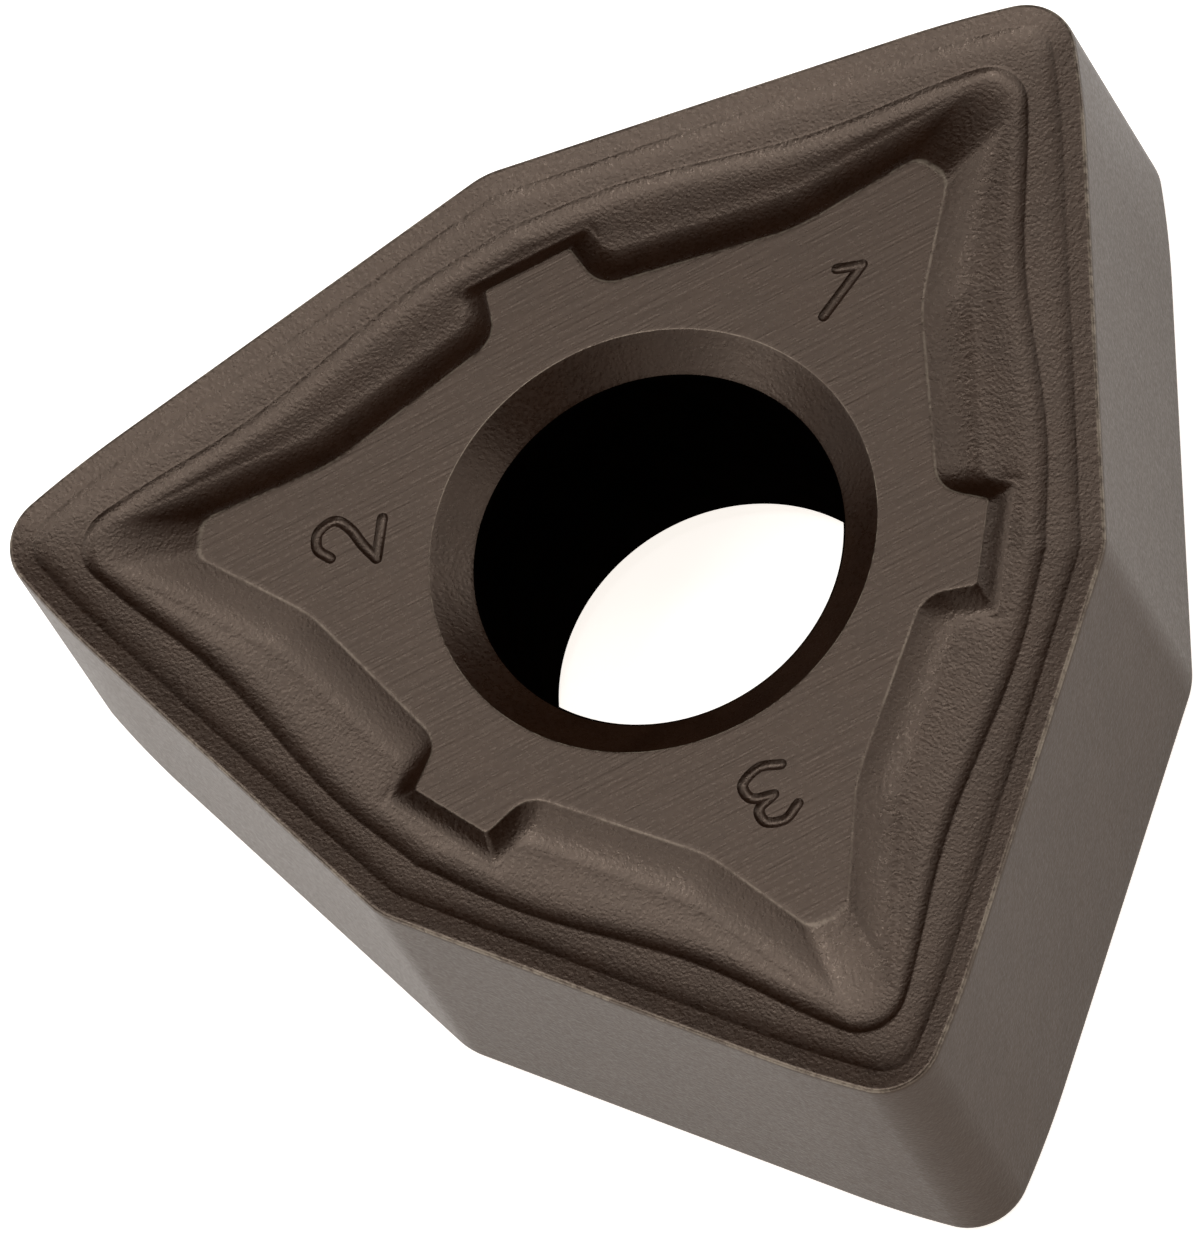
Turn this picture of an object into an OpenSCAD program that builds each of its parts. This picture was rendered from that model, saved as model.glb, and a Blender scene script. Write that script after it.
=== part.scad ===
// Double-sided trigon turning insert, pressed and sintered in one piece, in millimetres.
// The origin is on the axis of the hole, halfway through the plate, and one nose points along +Y.
// Insets are measured inwards from the cutting edge, and drops are measured below it.

/* [Outline] */
// Diameter of the circle that touches all six sides
inscribed_d = 12.7; // [12.2:0.1:15]
// Included angle of each cutting nose in degrees
nose_angle = 80; // [78:0.5:82]
// Radius of each cutting nose
nose_r = 0.8; // [0.7:0.05:1.2]
// Radius of the long wiper arc that runs from the nose into each side
wiper_r = 15.5; // [8:0.5:30]
// Angle that the wiper arc turns through in degrees
wiper_angle = 5.9; // [3:0.1:8]
// Radius that softens each blunt corner
blunt_r = 1.2; // [0.8:0.1:2]

/* [Thickness] */
// Thickness from the ground seat on one face to the cutting edge of the other
thickness = 4.76; // [3.5:0.02:6.5]
// Height of the ground seat above the cutting edge
seat_rise = 0.09; // [0.04:0.01:0.2]

/* [Hole] */
// Diameter of the clamping hole
hole_d = 5.2; // [4:0.05:5.6]
// Diameter of the countersink where it meets the seat
countersink_d = 6.38; // [5.9:0.02:6.6]
// Depth of the countersink below the seat
countersink_depth = 0.34; // [0.15:0.01:0.8]

/* [Cutting edge] */
// Width of the hone that blunts the cutting edge
hone = 0.035; // [0.02:0.005:0.06]
// Inset of the land's inner side at the nose
land_nose = 0.32; // [0.28:0.01:0.4]
// Inset of the land's inner side at the blunt corner
land_blunt = 0.36; // [0.3:0.01:0.45]
// Drop of the land's inner side
land_drop = 0.034; // [0.02:0.002:0.05]

/* [Grooves] */
// How sharply each groove curves down behind its crest, where 1 is an even slope
groove_curve = 2.25; // [1:0.25:4]
// Share of the first groove's depth that it takes as an even slope
even_share = 0.5; // [0:0.05:1]
// Drop of the second groove's crest, which ends the first groove
crest_drop = 0.095; // [0.06:0.005:0.12]
// Drop of the second groove's bottom
groove_drop = 0.155; // [0.13:0.005:0.25]
// Width of the second groove from its crest to its bottom
groove_w = 0.38; // [0.25:0.01:0.45]
// Inset of the crest where it leaves the nose
crest_nose = 0.81; // [0.75:0.01:0.86]
// Radius of the crest round the nose
crest_r = 0.61; // [0.5:0.01:0.65]
// Largest inset of the crest, a little before the middle of the side
crest_mid = 0.96; // [0.85:0.01:1.05]
// Distance of that place from the sharp nose corner
crest_mid_at = 4; // [3.5:0.1:4.5]
// Smallest inset of the crest, beside the tab
crest_heel = 0.77; // [0.7:0.01:0.85]
// Distance of that place from the sharp nose corner
crest_heel_at = 7; // [6.5:0.1:7.5]
// Inset of the crest at the blunt corner
crest_blunt = 0.87; // [0.8:0.01:0.95]

/* [Pocket] */
// Drop of the pocket's floor at the foot of the seat's wall
floor_drop = 0.12; // [0.1:0.005:0.2]
// Inset of the wall's foot along the long side of the seat
pocket_inset = 1.71; // [1.6:0.01:1.85]
// Radius where the pocket's floor ends beside the tab
pocket_end_r = 0.3; // [0.15:0.01:0.4]
// How far the wall curves at its foot, where 1 is a straight wall
wall_curve = 1.6; // [1:0.1:2]

/* [Spur] */
// Distance from the cutting nose to the foot of the spur
spur_gap = 1.33; // [1.31:0.01:1.6]
// Width of the spur's foot at its tip
spur_tip_w = 0.56; // [0.3:0.01:0.6]
// Angle between the spur's foot and the nose's centre line in degrees
spur_angle = 26.5; // [22:0.5:28]
// Radius at the tip of the spur's foot
spur_tip_r = 0.42; // [0.2:0.01:0.5]
// Radius where the spur's foot runs into the long side
spur_root_r = 0.8; // [0.3:0.1:1.5]

/* [Seat] */
// Distance from the cutting nose to the tip of the seat
seat_tip_gap = 2.79; // [2.65:0.01:3.1]
// Width of the seat's tip before its corners are rounded
seat_tip_w = 0.56; // [0.4:0.01:0.7]
// Radius of the corners of the seat's tip
seat_tip_r = 0.3; // [0.05:0.01:0.4]
// Angle between the side of the seat's nose and its centre line in degrees
seat_nose_angle = 26; // [20:0.5:28]
// Radius between the seat's nose and its long side
seat_waist_r = 2.4; // [1:0.1:3]
// Inset of the seat's long side, measured on the line from the hole's axis square to the edge
seat_inset = 2.31; // [2.2:0.01:2.4]
// Angle by which the seat's long side leans out towards the tab in degrees
seat_lean = 2; // [0:0.5:4]

/* [Tab] */
// Distance from the blunt corner's sharp point to the end of the tab
tab_gap = 1.74; // [1.65:0.01:1.95]
// Width of the tab at its end
tab_w = 1.29; // [1:0.01:1.6]
// Angle by which each side of the tab leans in towards its end in degrees
tab_taper = 11.5; // [5:0.5:15]
// Radius of the tab's outer corners
tab_corner_r = 0.07; // [0.03:0.01:0.15]
// Radius of the hollow corner between the tab and the long side
tab_root_r = 0.48; // [0.2:0.01:0.6]
// Width of the wall at the tab's sides
tab_side_run = 0.4; // [0.3:0.01:0.45]
// Width of the wall at the tab's end
tab_end_run = 0.32; // [0.2:0.01:0.35]
// Radius of the tab's foot at its outer corners
tab_foot_r = 0.1; // [0.05:0.01:0.3]

/* [Smoothness] */
// Number of steps in the quarter of a nose that one half of a side takes
nose_steps = 7; // [5:1:9]
// Number of steps along each wiper arc
wiper_steps = 3; // [2:1:5]
// Number of steps in half of a blunt corner
blunt_steps = 2; // [1:1:4]
// Angle between neighbouring lines of the surface along a straight side, in degrees
side_step = 4; // [3:0.5:8]
// Number of steps in each rounded corner of the seat and its foot
corner_steps = 3; // [2:1:4]
// Number of steps up the seat's wall
wall_steps = 3; // [2:1:4]
// Smallest angle between neighbouring lines of the surface, in degrees
least_step = 0.45; // [0.3:0.05:1]

/* [Hidden] */
nose_count = 3;
half_pitch = 180 / nose_count;
coat_colour = [0.3, 0.27, 0.25];
inscribed_r = inscribed_d / 2;
side_angle = 90 - nose_angle / 2;
blunt_turn = half_pitch - side_angle;
sharp_blunt = inscribed_r / cos(blunt_turn);
side_length = inscribed_r * (tan(side_angle) + tan(blunt_turn));
wiper_start = side_angle - wiper_angle;
nose_centre = (inscribed_r - wiper_r - (nose_r - wiper_r) * cos(wiper_angle)) / cos(side_angle);
nose_tip = nose_centre + nose_r;
wiper_centre = [nose_centre, 0] + (nose_r - wiper_r) * aim(wiper_start);
blunt_centre = (inscribed_r - blunt_r) / cos(blunt_turn) * aim(half_pitch);
crest_centre = [(inscribed_r - crest_nose - crest_r) / cos(side_angle), 0];
crest_start = (crest_nose + crest_r) * tan(side_angle);
edge_z = (thickness - seat_rise) / 2;
seat_z = edge_z + seat_rise;
floor_z = edge_z - floor_drop;
cut = 0.5;
round_fn = 96;
slack = 0.001;
fillet_share = 0.48;
groove_share = 0.8;
groove_middle = 0.4;

// Unit vector at an angle, cross product and angle of a plan point
function aim(a) = [cos(a), sin(a)];
function turn(p, q) = p.x * q.y - p.y * q.x;
function bearing(p) = atan2(p.y, p.x);
function blend(a, b, t) = a + (b - a) * (1 - cos(180 * max(0, min(1, t)))) / 2;

// Point where the line through p at angle a meets the line through q at angle b
function meet(p, a, q, b) = p + aim(a) * turn(q - p, aim(b)) / turn(aim(a), aim(b));

// Arc of radius r at the corner p between a and b, no longer than its room allows
function fillet(p, a, b, r, room) = let (
    ua = (a - p) / norm(a - p), ub = (b - p) / norm(b - p),
    half = acos(ua * ub) / 2,
    reach = min(r / tan(half), fillet_share * room),
    centre = p + (ua + ub) / norm(ua + ub) * reach / cos(half),
    from = p + ua * reach - centre, to = p + ub * reach - centre, sweep = 180 - 2 * half)
    [for (i = [0:corner_steps]) let (k = i / corner_steps)
        centre + (sin((1 - k) * sweep) * from + sin(k * sweep) * to) / sin(sweep)];

// Path through the corners v, rounded to the radii r, whose first and last side are halves
function rounded(v, r) = let (last = len(v) - 1) [
    v[0],
    for (i = [1:last - 1])
        let (before = norm(v[i - 1] - v[i]), after = norm(v[i + 1] - v[i]))
        each fillet(
            v[i], v[i - 1], v[i + 1], r[i],
            min(i == 1 ? 2 * before : before, i == last - 1 ? 2 * after : after)),
    v[last]];

// How far the ray at angle t from the axis reaches to a circle, a side and a path
function to_circle(t, c, r) = let (b = c * aim(t)) b + sqrt(r * r - c * c + b * b);
function to_side(t, inset) = (inscribed_r - inset) / cos(side_angle - t);
function to_path(t, v) = [for (i = [0:len(v) - 2])
    let (a = v[i], b = v[i + 1])
    if (bearing(a) <= t + slack && bearing(b) >= t - slack && bearing(b) > bearing(a))
        turn(a, b - a) / turn(aim(t), b - a)][0];

// Distance along the side from its sharp nose corner, where a ray crosses it at an inset
function along(t, inset) = inscribed_r * tan(side_angle) - (inscribed_r - inset) * tan(side_angle - t);

// Half of the outline, from the centre line of a nose to that of the blunt corner
function edge_reach(t, inset) =
    let (
        nose_end = bearing([nose_centre, 0] + (nose_r - inset) * aim(wiper_start)),
        wiper_end = bearing(wiper_centre + (wiper_r - inset) * aim(side_angle)),
        blunt_start = bearing(blunt_centre + (blunt_r - inset) * aim(side_angle)))
    t < nose_end ? to_circle(t, [nose_centre, 0], nose_r - inset)
    : t < wiper_end ? to_circle(t, wiper_centre, wiper_r - inset)
    : t < blunt_start ? to_side(t, inset)
    : to_circle(t, blunt_centre, blunt_r - inset);

// The land widens from the nose to the blunt corner
function land_reach(t) = edge_reach(t, land_nose + (land_blunt - land_nose) * t / half_pitch);

// The second groove's crest swings in at the middle of the side and out beside the tab
function crest_inset(s) =
    s < crest_mid_at ? blend(crest_nose, crest_mid, (s - crest_start) / (crest_mid_at - crest_start))
    : s < crest_heel_at ? blend(crest_mid, crest_heel, (s - crest_mid_at) / (crest_heel_at - crest_mid_at))
    : blend(crest_heel, crest_blunt, (s - crest_heel_at) / (side_length - crest_heel_at));
function crest_reach(t) =
    t < bearing(crest_centre + crest_r * aim(side_angle))
        ? to_circle(t, crest_centre, crest_r)
        : to_side(t, crest_inset(along(t, crest_nose)));

// Corners of the flat seat in half of a side
tab_side = half_pitch - 90;
tab_r = sharp_blunt - tab_gap;
tab_corner = tab_r * aim(half_pitch) + tab_w / 2 * aim(tab_side);
tab_slope = half_pitch + tab_taper;
seat_tip = nose_tip - seat_tip_gap;
seat_tip_corner = [seat_tip, seat_tip_w / 2];
seat_slope = 180 - seat_nose_angle;
seat_side = (inscribed_r - seat_inset) * aim(side_angle);
seat_side_slope = side_angle + 90 - seat_lean;
seat_corners = [
    [seat_tip, 0],
    seat_tip_corner,
    meet(seat_tip_corner, seat_slope, seat_side, seat_side_slope),
    meet(seat_side, seat_side_slope, tab_corner, tab_slope),
    tab_corner,
    tab_r * aim(half_pitch)];
seat_radii = [0, seat_tip_r, seat_waist_r, tab_root_r, tab_corner_r, 0];

// Corners of the wall's foot, which ends in the spur that points at the nose
spur_tip = nose_tip - spur_gap;
spur_corner = [spur_tip, spur_tip_w / 2];
spur_slope = 180 - spur_angle;
foot_side = (inscribed_r - pocket_inset) * aim(side_angle);
foot_side_slope = side_angle + 90;
tab_foot_r_out = tab_r + tab_end_run;
tab_foot_side = tab_corner + tab_side_run * aim(tab_slope - 90);
tab_foot_end = tab_foot_r_out * aim(half_pitch);
foot_corners = [
    [spur_tip, 0],
    spur_corner,
    meet(spur_corner, spur_slope, foot_side, foot_side_slope),
    meet(foot_side, foot_side_slope, tab_foot_side, tab_slope),
    meet(tab_foot_side, tab_slope, tab_foot_end, tab_side),
    tab_foot_end];
foot_radii = [0, spur_tip_r, spur_root_r, pocket_end_r, tab_foot_r, 0];

// Paths up the seat's wall, from its foot to the seat
wall_paths = [for (i = [0:wall_steps]) let (k = i / wall_steps)
    rounded(foot_corners + (seat_corners - foot_corners) * k, foot_radii + (seat_radii - foot_radii) * k)];

// Angles of the rays that carry the surface, through every corner of every contour
function sorted(v) = len(v) < 2 ? v : let (p = v[floor(len(v) / 2)])
    concat(sorted([for (x = v) if (x < p) x]), [p], sorted([for (x = v) if (x > p) x]));
function thinned(v, i = 1, kept = [0]) =
    i == len(v) ? kept
    : thinned(v, i + 1, v[i] - kept[len(kept) - 1] < least_step ? kept : concat(kept, [v[i]]));
nose_rays = [for (i = [0:nose_steps])
    bearing([nose_centre, 0] + nose_r * aim(wiper_start * i / nose_steps))];
wiper_rays = [for (i = [1:wiper_steps])
    bearing(wiper_centre + wiper_r * aim(wiper_start + wiper_angle * i / wiper_steps))];
side_rays = [for (t = [wiper_rays[wiper_steps - 1]:side_step:half_pitch]) t];
blunt_rays = [for (i = [0:blunt_steps])
    bearing(blunt_centre + blunt_r * aim(side_angle + blunt_turn * i / blunt_steps))];
path_rays = [for (v = wall_paths, p = v) bearing(p)];
all_rays = sorted([for (t = concat(nose_rays, wiper_rays, side_rays, blunt_rays, path_rays))
    if (t > least_step / 2 && t < half_pitch - least_step) t]);
rays = concat(thinned(concat([0], all_rays)), [half_pitch]);
ray_count = len(rays) - 1;

// The second groove at a share of its width, which the wall's foot may narrow, and its drop there
function groove_2(share) = [
    [for (t = rays)
        let (crest = crest_reach(t), room = groove_share * (crest - to_path(t, wall_paths[0])))
        crest - share * min(groove_w, room)],
    edge_z - groove_drop + (groove_drop - crest_drop) * pow(1 - share, groove_curve)];

// The first groove at a share of the way from the land to the crest, and its drop there
function groove_1(share) = [
    [for (t = rays) land_reach(t) + share * (crest_reach(t) - land_reach(t))],
    edge_z - crest_drop + (crest_drop - land_drop)
        * (even_share * (1 - share) + (1 - even_share) * pow(1 - share, groove_curve))];

// Contours of one face from the seat out to the cutting edge, each with its height
contours = concat(
    [for (i = [wall_steps:-1:0])
        [[for (t = rays) to_path(t, wall_paths[i])],
         floor_z + (seat_z - floor_z) * pow(i / wall_steps, wall_curve)]],
    [for (share = [1, groove_middle]) groove_2(share)],
    [for (share = [1, groove_middle, 0]) groove_1(share)],
    [[[for (t = rays) edge_reach(t, hone)], edge_z],
     [[for (t = rays) edge_reach(t, 0)], edge_z - hone]]);

// One closed ring of points round all the noses, from the reaches of half a side
function ring(reaches, z) = [
    for (n = [0:nose_count - 1], side = [0, 1], i = [0:ray_count - 1])
        let (
            k = side == 0 ? i : ray_count - i,
            a = 90 + 2 * half_pitch * (n + side) + (side == 0 ? rays[k] : -rays[k]))
        [reaches[k] * cos(a), reaches[k] * sin(a), z]];

// The solid plate, skinned over the contours of both faces
module blank() {
    levels = concat(
        [for (c = contours) ring(c[0], c[1])],
        [for (i = [len(contours) - 1:-1:0]) ring(contours[i][0], -contours[i][1])]);
    size = 2 * nose_count * ray_count;
    last = len(levels) - 1;
    strips = [for (j = [0:last - 1], i = [0:size - 1])
        let (
            a = 1 + j * size + i,
            b = 1 + j * size + (i + 1) % size,
            c = b + size,
            d = a + size,
            mirrored = (floor(i / ray_count) % 2 == 0) == (j < len(contours)))
        each mirrored ? [[a, b, c], [a, c, d]] : [[a, b, d], [b, c, d]]];
    points = concat([[0, 0, seat_z]], [for (level = levels) each level], [[0, 0, -seat_z]]);
    fans = [for (i = [0:size - 1])
        let (j = (i + 1) % size, base = 1 + last * size)
        each [[0, j + 1, i + 1], [len(points) - 1, base + i, base + j]]];
    polyhedron(points = points, faces = concat(strips, fans));
}

// The clamping hole, countersunk from both faces
module clamping_hole() {
    countersink_slope = (countersink_d - hole_d) / 2 / countersink_depth;
    cylinder(h = 2 * (seat_z + cut), d = hole_d, center = true, $fn = round_fn);
    for (face = [0, 1])
        mirror([0, 0, face])
            translate([0, 0, seat_z - countersink_depth])
                cylinder(
                    h = countersink_depth + cut,
                    r1 = hole_d / 2,
                    r2 = countersink_d / 2 + cut * countersink_slope,
                    $fn = round_fn);
}

module insert() {
    color(coat_colour)
        difference() {
            blank();
            clamping_hole();
        }
}

insert();
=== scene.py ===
"""Looks of a double-sided trigon turning insert: its moulded chip breaker, coat and numbers, and the studio.

The insert is modelled in millimetres about the hole's axis, halfway through the plate, with one nose
along +Y. Insets are measured inwards from the cutting edge, and drops are measured below it.
"""

import logging
import math
from collections.abc import Callable, Sequence
from dataclasses import dataclass, field
from enum import Enum

import bmesh
import bpy
from mathutils import Matrix, Vector

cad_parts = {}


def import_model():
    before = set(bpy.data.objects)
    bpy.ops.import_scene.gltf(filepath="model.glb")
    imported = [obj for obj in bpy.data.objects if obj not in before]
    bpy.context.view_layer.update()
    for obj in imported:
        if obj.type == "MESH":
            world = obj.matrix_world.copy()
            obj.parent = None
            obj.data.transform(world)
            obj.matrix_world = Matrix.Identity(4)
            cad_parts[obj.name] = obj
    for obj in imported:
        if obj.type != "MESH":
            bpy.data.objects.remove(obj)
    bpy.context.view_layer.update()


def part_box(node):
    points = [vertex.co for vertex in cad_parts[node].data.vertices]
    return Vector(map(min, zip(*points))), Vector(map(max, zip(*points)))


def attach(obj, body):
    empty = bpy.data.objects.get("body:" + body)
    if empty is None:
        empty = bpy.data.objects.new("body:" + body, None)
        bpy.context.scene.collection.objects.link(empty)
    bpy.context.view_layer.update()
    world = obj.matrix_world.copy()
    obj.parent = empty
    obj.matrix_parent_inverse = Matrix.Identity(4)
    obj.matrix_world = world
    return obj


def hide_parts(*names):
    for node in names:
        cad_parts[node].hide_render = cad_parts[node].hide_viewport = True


LOG = logging.getLogger("insert")
MM = 0.001

Place = Callable[[int], Vector]
Colour = tuple[float, float, float]
Socket = bpy.types.NodeSocket
Materials = Sequence[bpy.types.Material]


def aim(angle: float) -> Vector:
    """Unit vector in the plane at an angle in degrees."""
    return Vector((math.cos(math.radians(angle)), math.sin(math.radians(angle))))


def toward(azimuth: float, elevation: float) -> Vector:
    """Unit vector in space at an azimuth and an elevation in degrees."""
    flat = aim(azimuth) * math.cos(math.radians(elevation))
    return Vector((flat.x, flat.y, math.sin(math.radians(elevation))))


def bearing(point: Vector) -> float:
    """Angle of a plane point in degrees."""
    return math.degrees(math.atan2(point.y, point.x))


def blend(start: float, end: float, share: float) -> float:
    """Smooth change from one value to another as the share goes from 0 to 1."""
    share = max(0.0, min(1.0, share))
    return start + (end - start) * (1 - math.cos(math.pi * share)) / 2


def meet(p: Vector, a: float, q: Vector, b: float) -> Vector:
    """Crossing of two lines in the plane.

    Args:
        p: Point on the first line.
        a: Angle of the first line in degrees.
        q: Point on the second line.
        b: Angle of the second line in degrees.

    Returns:
        The point where they cross.
    """
    return p + aim(a) * (q - p).cross(aim(b)) / aim(a).cross(aim(b))


def to_circle(t: float, centre: Vector, radius: float) -> float:
    """How far the ray at angle t from the axis reaches to the far side of a circle."""
    along = centre.dot(aim(t))
    return along + math.sqrt(radius * radius - centre.length_squared + along * along)


@dataclass(frozen=True)
class Path:
    """Line through corners, each of which is rounded as far as its sides allow."""

    corners: Sequence[Vector]
    radii: Sequence[float]
    longest_fillet: float = 0.48

    def fillet(self, corner: int) -> tuple[Vector, Vector, Vector, float]:
        """Arc that rounds one corner.

        Args:
            corner: Number of the corner.

        Returns:
            The arc's centre, its two ends seen from there, and the angle that it turns through.
        """
        p = self.corners[corner]
        before = self.corners[corner - 1] - p
        after = self.corners[corner + 1] - p
        half = before.angle(after) / 2
        room_before = before.length * (1 if corner > 1 else 2)
        room_after = after.length * (1 if corner < len(self.corners) - 2 else 2)
        reach = min(self.radii[corner] / math.tan(half), self.longest_fillet * min(room_before, room_after))
        before.normalize()
        after.normalize()
        centre = p + (before + after).normalized() * reach / math.cos(half)
        return centre, p + before * reach - centre, p + after * reach - centre, math.pi - 2 * half

    def point(self, stretch: int, share: float) -> Vector:
        """Point on one stretch of the line.

        Args:
            stretch: Number of the stretch, even for a straight one and odd for a fillet.
            share: Place along it, from 0 to 1.

        Returns:
            The point in the plane.
        """
        corner = (stretch + 1) // 2
        if stretch % 2:
            centre, start, end, sweep = self.fillet(corner)
            return centre + (start * math.sin((1 - share) * sweep)
                             + end * math.sin(share * sweep)) / math.sin(sweep)
        last = len(self.corners) - 1
        start = self.corners[0]
        end = self.corners[last]
        if corner > 0:
            centre, _, leave, _ = self.fillet(corner)
            start = centre + leave
        if corner < last - 1:
            centre, arrive, _, _ = self.fillet(corner + 1)
            end = centre + arrive
        return start.lerp(end, share)

    def toward(self, other: "Path", share: float) -> "Path":
        """Path at a share of the way to another with as many corners."""
        corners = [a.lerp(b, share) for a, b in zip(self.corners, other.corners)]
        radii = [max(0.0, a + (b - a) * share) for a, b in zip(self.radii, other.radii)]
        return Path(corners, radii, self.longest_fillet)


@dataclass(frozen=True)
class Plate:
    """Outline of the plate and the height of its levels."""

    inscribed_r: float = 6.35
    nose_angle: float = 80
    nose_r: float = 0.8
    wiper_r: float = 15.5
    wiper_angle: float = 5.9
    blunt_r: float = 1.2
    seat_z: float = 2.425
    seat_rise: float = 0.09
    floor_drop: float = 0.12
    half_pitch: float = 60

    @property
    def side_angle(self) -> float:
        """Angle between a nose's centre line and the normal of its side."""
        return 90 - self.nose_angle / 2

    @property
    def blunt_turn(self) -> float:
        """Half of the angle that the outline turns through at a blunt corner."""
        return self.half_pitch - self.side_angle

    @property
    def edge_z(self) -> float:
        """Height of the cutting edge."""
        return self.seat_z - self.seat_rise

    @property
    def floor_z(self) -> float:
        """Height of the pocket's floor."""
        return self.edge_z - self.floor_drop

    @property
    def sharp_blunt(self) -> float:
        """Distance from the axis to the sharp point of a blunt corner."""
        return self.inscribed_r / math.cos(math.radians(self.blunt_turn))

    @property
    def nose_centre(self) -> Vector:
        """Centre of the nose arc."""
        reach = (self.inscribed_r - self.wiper_r
                 - (self.nose_r - self.wiper_r) * math.cos(math.radians(self.wiper_angle)))
        return Vector((reach / math.cos(math.radians(self.side_angle)), 0.0))

    @property
    def nose_tip(self) -> float:
        """Distance from the axis to the tip of a nose."""
        return self.nose_centre.x + self.nose_r

    @property
    def wiper_centre(self) -> Vector:
        """Centre of the wiper arc."""
        return self.nose_centre + (self.nose_r - self.wiper_r) * aim(self.side_angle - self.wiper_angle)

    @property
    def blunt_centre(self) -> Vector:
        """Centre of the blunt corner's arc."""
        reach = (self.inscribed_r - self.blunt_r) / math.cos(math.radians(self.blunt_turn))
        return reach * aim(self.half_pitch)

    def to_side(self, t: float, inset: float) -> float:
        """How far the ray at angle t reaches to the straight side, moved in by an inset."""
        return (self.inscribed_r - inset) / math.cos(math.radians(self.side_angle - t))

    def reach(self, t: float, inset: float) -> float:
        """Distance from the axis to the outline.

        Args:
            t: Angle from the nose's centre line in degrees, up to half of the pitch.
            inset: How far the outline is moved in.

        Returns:
            The distance along that ray.
        """
        wiper_start = self.side_angle - self.wiper_angle
        if t < bearing(self.nose_centre + (self.nose_r - inset) * aim(wiper_start)):
            return to_circle(t, self.nose_centre, self.nose_r - inset)
        if t < bearing(self.wiper_centre + (self.wiper_r - inset) * aim(self.side_angle)):
            return to_circle(t, self.wiper_centre, self.wiper_r - inset)
        if t < bearing(self.blunt_centre + (self.blunt_r - inset) * aim(self.side_angle)):
            return self.to_side(t, inset)
        return to_circle(t, self.blunt_centre, self.blunt_r - inset)


@dataclass(frozen=True)
class Hole:
    """Clamping hole and its countersink."""

    bore_r: float = 2.6
    rim_r: float = 3.19
    countersink_depth: float = 0.34
    bore_edge_r: float = 0.09
    rim_edge_r: float = 0.04
    support: float = 0.15


@dataclass(frozen=True)
class Edge:
    """Cutting edge and the land behind it, which widens from the nose to the blunt corner."""

    hone: float = 0.04
    hone_height: float = 0.085
    land_nose: float = 0.32
    land_blunt: float = 0.36
    land_drop: float = 0.034

    def land_inset(self, plate: Plate, t: float) -> float:
        """Inset of the land's inner side at the bearing t."""
        return self.land_nose + (self.land_blunt - self.land_nose) * t / plate.half_pitch


@dataclass(frozen=True)
class Grooves:
    """Two scooped grooves, parted by a crest that swings in along each side and out beside the tab."""

    first_curve: float = 4.0
    second_curve: float = 2.5
    even_share: float = 0.4
    crest_drop: float = 0.095
    bottom_drop: float = 0.145
    width: float = 0.32
    room_share: float = 0.8
    nose_inset: float = 0.81
    nose_r: float = 0.61
    mid_inset: float = 0.96
    mid_at: float = 4.0
    heel_inset: float = 0.77
    heel_at: float = 7.0
    blunt_inset: float = 0.87

    def inset(self, plate: Plate, s: float) -> float:
        """Inset of the crest.

        Args:
            plate: The plate that carries it.
            s: Distance along the side from its sharp nose corner.

        Returns:
            The inset there.
        """
        start = (self.nose_inset + self.nose_r) * math.tan(math.radians(plate.side_angle))
        end = plate.inscribed_r * (math.tan(math.radians(plate.side_angle))
                                   + math.tan(math.radians(plate.blunt_turn)))
        if s < self.mid_at:
            return blend(self.nose_inset, self.mid_inset, (s - start) / (self.mid_at - start))
        if s < self.heel_at:
            return blend(self.mid_inset, self.heel_inset, (s - self.mid_at) / (self.heel_at - self.mid_at))
        return blend(self.heel_inset, self.blunt_inset, (s - self.heel_at) / (end - self.heel_at))

    def crest(self, plate: Plate, t: float) -> float:
        """Distance from the axis to the crest.

        Args:
            plate: The plate that carries it.
            t: Angle from the nose's centre line in degrees, up to half of the pitch.

        Returns:
            The distance along that ray.
        """
        side = math.radians(plate.side_angle)
        centre = Vector(((plate.inscribed_r - self.nose_inset - self.nose_r) / math.cos(side), 0.0))
        if t < bearing(centre + self.nose_r * aim(plate.side_angle)):
            return to_circle(t, centre, self.nose_r)
        s = (plate.inscribed_r * math.tan(side)
             - (plate.inscribed_r - self.nose_inset) * math.tan(side - math.radians(t)))
        return plate.to_side(t, self.inset(plate, s))

    def first_drop(self, land_drop: float, share: float) -> float:
        """Drop of the first groove, at a share of the way from the land to the crest."""
        left = self.even_share * (1 - share) + (1 - self.even_share) * (1 - share) ** self.first_curve
        return self.crest_drop + (land_drop - self.crest_drop) * left

    def second_drop(self, share: float) -> float:
        """Drop of the second groove, at a share of the way from its crest to its bottom."""
        return self.bottom_drop + (self.crest_drop - self.bottom_drop) * (1 - share) ** self.second_curve


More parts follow.
